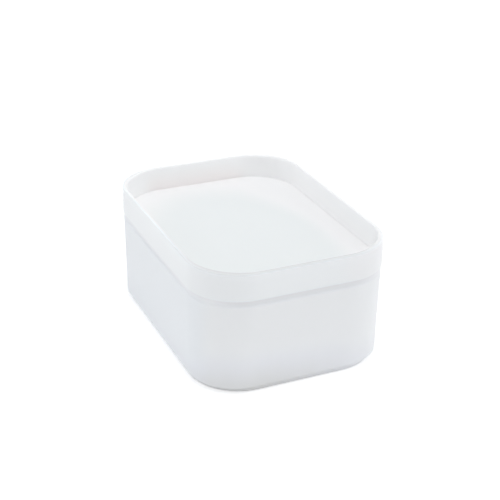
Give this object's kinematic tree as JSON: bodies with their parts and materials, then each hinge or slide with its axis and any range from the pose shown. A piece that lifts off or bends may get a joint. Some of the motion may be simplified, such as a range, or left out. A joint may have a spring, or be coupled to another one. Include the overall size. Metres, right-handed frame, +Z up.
{
  "type": "storage bin with lid",
  "caption": "Small rectangular storage bin with large rounded corners, walls that taper towards a low foot, and a lift-off lid shaped like a shallow tray.",
  "frame": {"origin": "middle of the footprint, on the surface that the bin stands on", "axes": "+Z up, long sides along Y, the front short side faces -Y"},
  "size_m": [0.11, 0.15, 0.0692],
  "materials": {
    "bin_plastic": "satin, frosted translucent polypropylene, milky white with a faint cool tint",
    "lid_plastic": "satin, frosted translucent polypropylene, milky white with a faint cool tint"
  },
  "bodies": {
    "bin": {"bin": "bin_plastic"},
    "lid": {"lid": "lid_plastic"}
  },
  "joints": [
    {"name": "lid_lift", "type": "slide", "parent": "bin", "child": "lid", "axis": [0, 0, 1], "range_m": [0, 0.12]}
  ]
}
